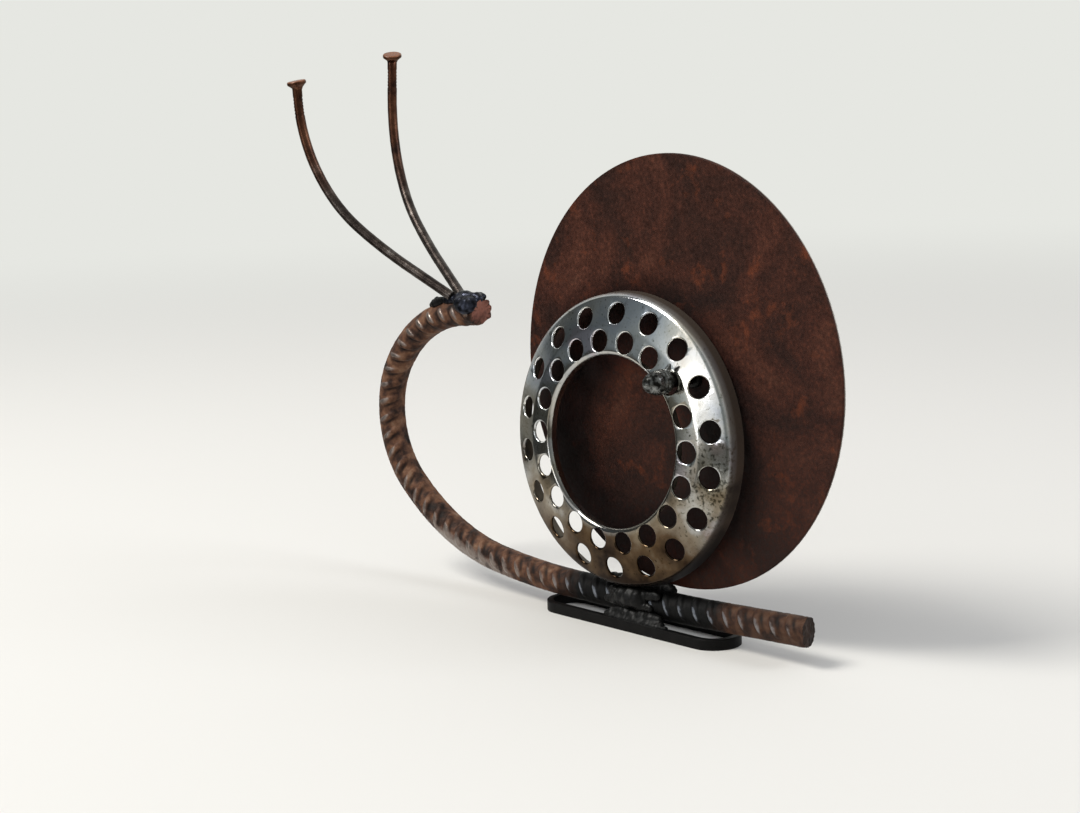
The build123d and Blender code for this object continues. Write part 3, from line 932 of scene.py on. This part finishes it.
def peg_knob(material):
    """The peg's melted end: a round lump in front of the ring, ringed by ripples, with a drip on top."""
    low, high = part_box("peg_weld")
    rod_low, rod_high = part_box("ring_peg")
    axis = (rod_low + rod_high) / 2
    length = high.y - low.y
    outline = [(radius * KNOB_RADIUS, height * length) for radius, height in KNOB_OUTLINE]
    knob = drawn_piece("knob", outline, KNOB_STEPS)
    close_ends(knob)
    knob.data.transform(Matrix.Translation((axis.x, high.y, axis.z)) @ Matrix.Rotation(pi / 2, 4, "X"))
    drip = Vector((DRIP_SIDE_SHARE * KNOB_RADIUS, -DRIP_ALONG_SHARE * length, KNOB_RADIUS))
    drip += Vector((axis.x, high.y, axis.z))
    drops = [
        ball(Matrix.Translation(drip + DRIP_STEP * step * MM) @ Matrix.Scale(size * MM, 4))
        for step, size in enumerate(DRIP_SIZES)
    ]
    lump = melt_together([knob, *drops], "peg_knob", roughness=0.25 * MM, smoothing=5)
    stand_for(lump, material, "weld_metal", "peg_weld")


# Finishes


# Sizes of the patterns in millimetres. Grit, grain and specks are drawn coarser than real, so that they show.
RUST_CLOUDS, RUST_BLOOMS, RUST_GRIT = 46, 14, 1.6
SMEARS, TARNISH_CLOUDS, SPECKS = 16, 24, 1.5
NAIL_PATCHES, NAIL_GRAIN = 9, 0.9
WELD_SCALE = 3.4
BAR_PATCHES, BAR_GRIT = 7, 1.1

# The patch on the ring's right where grime specks stay, and the heights where its painted reflection of a
# brown table, with painted shade at the bottom, starts and ends.
SPECKLED_PLACE = RING_PLACE @ Vector((60 * MM, -14 * MM, RING_DEPTH - SHOULDER_FALL))
SPECKLED_REACH = 30 * MM
TABLE_REFLECTION_START, TABLE_REFLECTION_END, TABLE_REFLECTION_DRIFT = 20 * MM, 120 * MM, 20 * MM
# How far from the ring's middle its grey lip ends, and how far inside its rim the dark skirt starts.
LIP_GREY, SKIRT_DARKENING = (44 * MM, 46.5 * MM), (1.2 * MM, 0.4 * MM)

# How far from the ring's middle the disc's front is painted with shade, darker round the ring and brighter
# inside its bore, how ragged that painted shading is, and how far inside the disc's rim and behind its middle
# plane its bare edge lies.
RING_SHADING_REACH, RING_SHADING_RAGGEDNESS = 100 * MM, 12 * MM
BARE_RIM, BARE_DEPTH = (0.5 * MM, 0.2 * MM), 0.5 * MM

# The heights between which the nails turn redder.
NAIL_REDDER = (195 * MM, 225 * MM)


def rusty_plate():
    """Hot-rolled steel plate rusted outdoors and wiped with oil: dark brown, clouded, hardly any shine. Its
    front has painted shade round the steel ring and painted light inside its bore, it is painted darker
    towards the bottom, and its edge is scraped bare."""
    material, add, place = new_material("rusty_steel_plate")
    low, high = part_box("shell_disc")
    clouds = add("TexNoise", {
        "Vector": place, "Scale": per_size(RUST_CLOUDS), "Detail": 9.0, "Roughness": 0.62, "Distortion": 0.6,
    })
    base = add("ValToRGB", {"Fac": clouds}, stops=(
        (0.3, "#24130d"), (0.44, "#381d13"), (0.53, "#472417"), (0.62, "#552f20"), (0.74, "#614131"),
    ))
    grit = add("TexNoise", {"Vector": place, "Scale": per_size(RUST_GRIT), "Detail": 4.0})
    specks = add("ValToRGB", {"Fac": grit}, stops=((0.34, 0.6), (0.46, 0.9), (0.56, 1.0), (0.66, 1.5)))
    gritty = add("Mix", {"Factor": 0.85, "A": base, "B": specks}, **MULTIPLY)
    blooms = add("TexNoise", {
        "Vector": place, "Scale": per_size(RUST_BLOOMS), "Detail": 9.0, "Roughness": 0.65, "Distortion": 0.1,
    })
    bloomed = add("MapRange", {"Value": blooms, "From Min": 0.57, "From Max": 0.75, "To Max": 0.6})
    orange = add("Mix", {"Factor": bloomed, "A": gritty, "B": "#8a431d"}, **BLEND)

    # Painted shade and light: the front is painted darker round the steel ring and brighter than its rust
    # inside the bore, with a ragged edge; the back gets little of it.
    place_xz = add("VectorMath", {0: place, 1: (1.0, 0.0, 1.0)}, operation="MULTIPLY")
    from_ring = add("VectorMath", {0: place_xz, 1: (RING_CENTER.x, 0.0, RING_CENTER.z)}, operation="DISTANCE")
    ragged = add("Math", {0: blooms, 1: RING_SHADING_RAGGEDNESS, 2: from_ring}, operation="MULTIPLY_ADD")
    ring_shading_place = add("MapRange", {"Value": ragged, "From Max": RING_SHADING_REACH})
    grime_and_painted_shading = add("ValToRGB", {"Fac": ring_shading_place}, stops=(
        (0.16, 1.5), (0.34, 1.1), (0.44, "#a88f80"), (0.5, "#94796a"), (0.74, "#94796a"), (0.8, "#dcd4ce"),
        (0.86, "#ffffff"),
    ))
    # Painted shade: the disc is painted darker towards the bottom.
    height = add("SeparateXYZ", {"Vector": place}).outputs["Z"]
    shade_by_height = add("MapRange", {"Value": height, "From Min": low.z, "From Max": high.z})
    painted_low_shade = add("ValToRGB", {"Fac": shade_by_height}, stops=(
        (0.0, "#b4b0b0"), (0.35, "#bdb9b8"), (0.75, "#e2dedc"), (1.0, "#dcd8d6"),
    ))

    middle = add("VectorMath", {0: place, 1: (low + high) / 2}, operation="SUBTRACT")
    radius = add("VectorMath", {0: middle}, operation="LENGTH")
    disc_radius = (high.x - low.x) / 2
    rim = add("MapRange", {
        "Value": radius, "From Min": disc_radius - BARE_RIM[0], "From Max": disc_radius - BARE_RIM[1],
    })
    depth = add("SeparateXYZ", {"Vector": middle}).outputs["Y"]
    back = add("MapRange", {"Value": depth, "From Max": BARE_DEPTH})
    bare_edge = add("Math", {0: rim, 1: back}, operation="MULTIPLY")
    on_front = add("MapRange", {"Value": back, "To Min": 1.0, "To Max": 0.15})
    # The painted shade and light from the ring, mostly on the front.
    with_grime_and_painted_shade = add("Mix", {"Factor": on_front, "A": orange, "B": grime_and_painted_shading}, **MULTIPLY)
    # The painted shade towards the bottom.
    low_shaded = add("Mix", {"Factor": 1.0, "A": with_grime_and_painted_shade, "B": painted_low_shade}, **MULTIPLY)
    colour = add("Mix", {"Factor": bare_edge, "A": low_shaded, "B": "#b9b4ac"}, **BLEND)
    roughness = add("MapRange", {
        "Value": grit, "From Min": 0.3, "From Max": 0.7, "To Min": 0.45, "To Max": 0.75,
    })
    relief = add("Math", {0: grit, 1: blooms}, operation="ADD")
    add_surface(add, colour, bare_edge, roughness, relief, strength=0.5, depth=0.3 * MM, shine=0.18)
    return material


def polished_steel():
    """Stainless sheet, buffed and then stained by use: bright, with soft reflections, a painted brown
    reflection and painted shade below, a greyer lip, grime specks on the right, and a dark skirt, painted
    darker towards the bottom, that is too dull to mirror the floor."""
    material, add, place = new_material("polished_stainless_steel")
    smears = add("TexNoise", {"Vector": place, "Scale": per_size(SMEARS), "Detail": 8.0})
    buffed = add("MapRange", {
        "Value": smears, "From Min": 0.32, "From Max": 0.68, "To Min": 0.06, "To Max": 0.17,
    })
    # Painted reflection and shade: below a height that drifts with the smears the sheet is painted brown, like
    # a brown table's reflection, and darkest at the bottom.
    height = add("SeparateXYZ", {"Vector": place}).outputs["Z"]
    drift = add("MapRange", {
        "Value": smears, "From Min": 0.3, "From Max": 0.7, "To Min": -TABLE_REFLECTION_DRIFT, "To Max": TABLE_REFLECTION_DRIFT,
    })
    level = add("Math", {0: height, 1: drift}, operation="ADD")
    painted_reflection_level = add("MapRange", {"Value": level, "From Min": TABLE_REFLECTION_START, "From Max": TABLE_REFLECTION_END})
    painted_table_reflection = add("ValToRGB", {"Fac": painted_reflection_level}, stops=(
        (0.0, "#2b2018"), (0.2, "#5b4a38"), (0.42, "#8d8374"), (0.62, "#cfcfcb"), (1.0, "#eeeeec"),
    ))
    from_speckles = add("VectorMath", {0: place, 1: SPECKLED_PLACE}, operation="DISTANCE")
    speckled = add("MapRange", {
        "Value": from_speckles, "From Max": SPECKLED_REACH, "To Min": 0.16, "To Max": 0.0,
    })
    specks = add("TexNoise", {"Vector": place, "Scale": per_size(SPECKS), "Detail": 6.0})
    thicker = add("Math", {0: specks, 1: speckled}, operation="SUBTRACT")
    grime_and_painted_shading = add("ValToRGB", {"Fac": thicker}, stops=(
        (0.23, "#23251c"), (0.3, "#9a9a90"), (0.36, "#f0f0ec"), (0.44, "#ffffff"),
    ))
    cloudy = add("TexNoise", {"Vector": place, "Scale": per_size(TARNISH_CLOUDS), "Detail": 3.0})
    tint = add("ValToRGB", {"Fac": cloudy}, stops=(
        (0.38, "#f2ecdf"), (0.5, "#ffffff"), (0.6, "#e2e8f2"), (0.68, "#e6dcea"),
    ))
    from_center = add("VectorMath", {0: place, 1: RING_CENTER}, operation="DISTANCE")
    lip = add("MapRange", {
        "Value": from_center, "From Min": LIP_GREY[0], "From Max": LIP_GREY[1], "To Min": 0.7, "To Max": 0.0,
    })
    greyed = add("Mix", {"Factor": lip, "A": painted_table_reflection, "B": "#a9a7a2"}, **BLEND)
    tinted = add("Mix", {"Factor": 0.8, "A": greyed, "B": tint}, **MULTIPLY)
    with_grime_and_painted_shade = add("Mix", {"Factor": 0.8, "A": tinted, "B": grime_and_painted_shading}, **MULTIPLY)
    skirt = add("MapRange", {
        "Value": from_center,
        "From Min": RING_RADIUS - SKIRT_DARKENING[0], "From Max": RING_RADIUS - SKIRT_DARKENING[1],
    })
    # The skirt's dark, dull tone is painted darker towards the bottom and lighter towards the top: painted
    # shade and a painted highlight.
    dark_skirt_tone = add("ValToRGB", {"Fac": painted_reflection_level}, stops=(
        (0.1, "#0d0907"), (0.35, "#241b15"), (0.6, "#493b31"), (1.0, "#43382f"),
    ))
    colour = add("Mix", {"Factor": skirt, "A": with_grime_and_painted_shade, "B": dark_skirt_tone}, **BLEND)
    metallic = add("MapRange", {"Value": skirt, "To Min": 1.0, "To Max": 0.15})
    roughness = add("Mix", {"Factor": skirt, "A": buffed, "B": 0.6})
    add_surface(add, colour, metallic, roughness, smears, strength=0.25, depth=0.4 * MM)
    return material


def mottled_steel(name, colour_low, colour_high, size, metallic, roughness, shine):
    """Mill steel that nobody polished: two close tones of thin scale, with a faint grain and little shine."""
    material, add, place = new_material(name)
    mottle = add("TexNoise", {"Vector": place, "Scale": per_size(size), "Detail": 6.0})
    base = add("ValToRGB", {"Fac": mottle}, stops=((0.35, colour_low), (0.65, colour_high)))
    add_surface(add, base, metallic, roughness, mottle, strength=0.4, depth=0.3 * MM, shine=shine)
    return material


def old_nail_steel():
    """Drawn wire, browned by age: nearly smooth, so it keeps a long soft highlight, redder near the heads."""
    material, add, place = new_material("browned_nail_steel")
    crown = add("Attribute", attribute_name="crown").outputs["Fac"]
    patches = add("TexNoise", {
        "Vector": place, "Scale": per_size(NAIL_PATCHES), "Detail": 6.0, "Roughness": 0.6,
    })
    brown = add("ValToRGB", {"Fac": patches}, stops=(
        (0.32, "#1c1715"), (0.45, "#302824"), (0.56, "#473f3a"), (0.7, "#6a6460"),
    ))
    redder = add("ValToRGB", {"Fac": patches}, stops=((0.32, "#2e1a12"), (0.5, "#553423"), (0.7, "#704b37")))
    height = add("SeparateXYZ", {"Vector": place}).outputs["Z"]
    upper = add("MapRange", {"Value": height, "From Min": NAIL_REDDER[0], "From Max": NAIL_REDDER[1]})
    shank = add("Mix", {"Factor": upper, "A": brown, "B": redder}, **BLEND)
    grain = add("TexNoise", {"Vector": place, "Scale": per_size(NAIL_GRAIN), "Detail": 4.0})
    rust = add("ValToRGB", {"Fac": grain}, stops=((0.3, "#4c2c1a"), (0.5, "#774526"), (0.7, "#905733")))
    colour = add("Mix", {"Factor": crown, "A": shank, "B": rust}, **BLEND)
    metallic = add("MapRange", {"Value": crown, "To Min": 0.8, "To Max": 0.0})
    roughness = add("MapRange", {
        "Value": grain, "From Min": 0.3, "From Max": 0.7, "To Min": 0.24, "To Max": 0.44,
    })
    add_surface(add, colour, metallic, roughness, grain, strength=0.25, depth=0.12 * MM)
    return material


def weld_metal(name, colour_low, colour_high, metallic, roughness):
    """Weld metal as it froze: thin dark scale over smooth ripples, brighter where the scale flaked off."""
    material, add, place = new_material(name)
    scale = add("TexNoise", {"Vector": place, "Scale": per_size(WELD_SCALE), "Detail": 4.0})
    base = add("ValToRGB", {"Fac": scale}, stops=((0.42, colour_low), (0.62, colour_high)))
    dull = add("MapRange", {
        "Value": scale, "From Min": 0.35, "From Max": 0.65, "To Min": roughness + 0.2, "To Max": roughness,
    })
    add_surface(add, base, metallic, dull, scale, strength=0.1, depth=0.2 * MM, shine=0.25)
    return material


def worn_bar_steel():
    """Ribbed bar with brown rust between its ribs, scraped bare on its ribs with a painted highlight on the
    lit flank towards the head, a painted shade line at each rib's tailward foot, and sooty black near the
    welds.
    The cut faces are rough, red at the head, dark at the tail, and darker at their rims."""
    material, add, place = new_material("rusted_ribbed_bar")
    crest, belly, scorch, cut, painted_rib_shade = [
        add("Attribute", attribute_name=name).outputs["Fac"]
        for name in ("crest", "belly", "scorch", "cut", "painted_rib_shade")
    ]
    patches = add("TexNoise", {
        "Vector": place, "Scale": per_size(BAR_PATCHES), "Detail": 7.0, "Roughness": 0.6,
    })
    grit = add("TexNoise", {"Vector": place, "Scale": per_size(BAR_GRIT), "Detail": 5.0})
    rust = add("ValToRGB", {"Fac": patches}, stops=(
        (0.34, "#1d130e"), (0.44, "#3d2920"), (0.54, "#5c3e2d"), (0.63, "#71523e"), (0.75, "#7b6957"),
    ))
    # The painted shade line at each rib's tailward foot, over the rust.
    with_grime_and_painted_shade = add("Mix", {"Factor": painted_rib_shade, "A": rust, "B": "#140c09"}, **BLEND)
    # Scraped crests, with their painted highlight, and the scraped belly.
    rubbed_and_highlit = add("Math", {0: crest, 1: belly}, operation="ADD")
    scuffed = add("MapRange", {
        "Value": patches, "From Min": 0.38, "From Max": 0.62, "To Min": 0.5, "To Max": 1.2,
    })
    wear_and_highlight = add("Math", {0: rubbed_and_highlit, 1: scuffed}, operation="MULTIPLY")
    worn_and_highlit = add("MapRange", {"Value": wear_and_highlight, "From Min": 0.28, "From Max": 0.68, "To Max": 0.95})
    bare = add("Mix", {"Factor": worn_and_highlit, "A": with_grime_and_painted_shade, "B": "#8a7f78"}, **BLEND)
    # Near the welds the crests keep a pale painted highlight over the black.
    sooty = add("ValToRGB", {"Fac": wear_and_highlight}, stops=((0.1, "#060606"), (0.34, "#101113"), (0.64, "#868b94")))
    heat = add("Math", {0: scorch, 1: patches}, operation="MULTIPLY")
    blackened = add("MapRange", {"Value": heat, "From Min": 0.06, "From Max": 0.4})
    skin = add("Mix", {"Factor": blackened, "A": bare, "B": sooty}, **BLEND)

    height = add("SeparateXYZ", {"Vector": place}).outputs["Z"]
    sawn = add("ValToRGB", {"Fac": height}, stops=((40 * MM, "#2b1e18"), (120 * MM, "#7a4f43")))
    torn = add("ValToRGB", {"Fac": patches}, stops=((0.4, 0.5), (0.58, 1.3)))
    dark_rim = add("ValToRGB", {"Fac": cut}, stops=((0.1, 0.25), (0.9, 1.0)))
    face = sawn
    for shade in (torn, dark_rim):
        face = add("Mix", {"Factor": 1.0, "A": face, "B": shade}, **MULTIPLY)
    on_cut = add("MapRange", {"Value": cut, "From Max": 0.12})
    colour = add("Mix", {"Factor": on_cut, "A": skin, "B": face}, **BLEND)
    roughness = add("MapRange", {"Value": worn_and_highlit, "To Min": 0.62, "To Max": 0.3})
    metallic = add("MapRange", {"Value": worn_and_highlit, "To Max": 0.9})
    add_surface(add, colour, metallic, roughness, grit, strength=0.6, depth=0.25 * MM, shine=0.16)
    return material


def finish(node_name, material):
    """Gives a CAD node its material."""
    mesh = nodes[node_name].data
    mesh.materials.clear()
    mesh.materials.append(material)


bpy.context.scene.view_settings.view_transform = "Standard"
make_camera()
make_world()
for lamp in LAMPS:
    make_lamp(*lamp)
make_floor()

finish("shell_disc", rusty_plate())
ribbed_bar(worn_bar_steel())
dull_back = mottled_steel("dull_sheet_back", "#5d564d", "#857a6b",
                          size=8, metallic=0.7, roughness=0.5, shine=0.2)
perforated_ring(polished_steel(), dull_back)
black_scale = mottled_steel("black_scaled_steel", "#050404", "#0d0c0b",
                            size=6, metallic=0, roughness=0.5, shine=0.12)
finish("foot_link", black_scale)
nail_steel = old_nail_steel()
for nail in NAILS:
    bent_nail(*nail, nail_steel)
bare_rod = mottled_steel("bare_rod", "#1a1716", "#2b2725", size=4, metallic=0.7, roughness=0.4, shine=0.2)
finish("ring_peg", bare_rod)
blue_weld = weld_metal("blued_weld_metal", "#101116", "#3c3f4b", metallic=0.8, roughness=0.26)
sooty_weld = weld_metal("sooty_weld_metal", "#040404", "#11100f", metallic=0.25, roughness=0.36)
bright_weld = weld_metal("bright_weld_metal", "#232321", "#8d8f8e", metallic=0.95, roughness=0.22)
welds(blue_weld, sooty_weld)
peg_knob(bright_weld)
finish("peg_root_weld", sooty_weld)
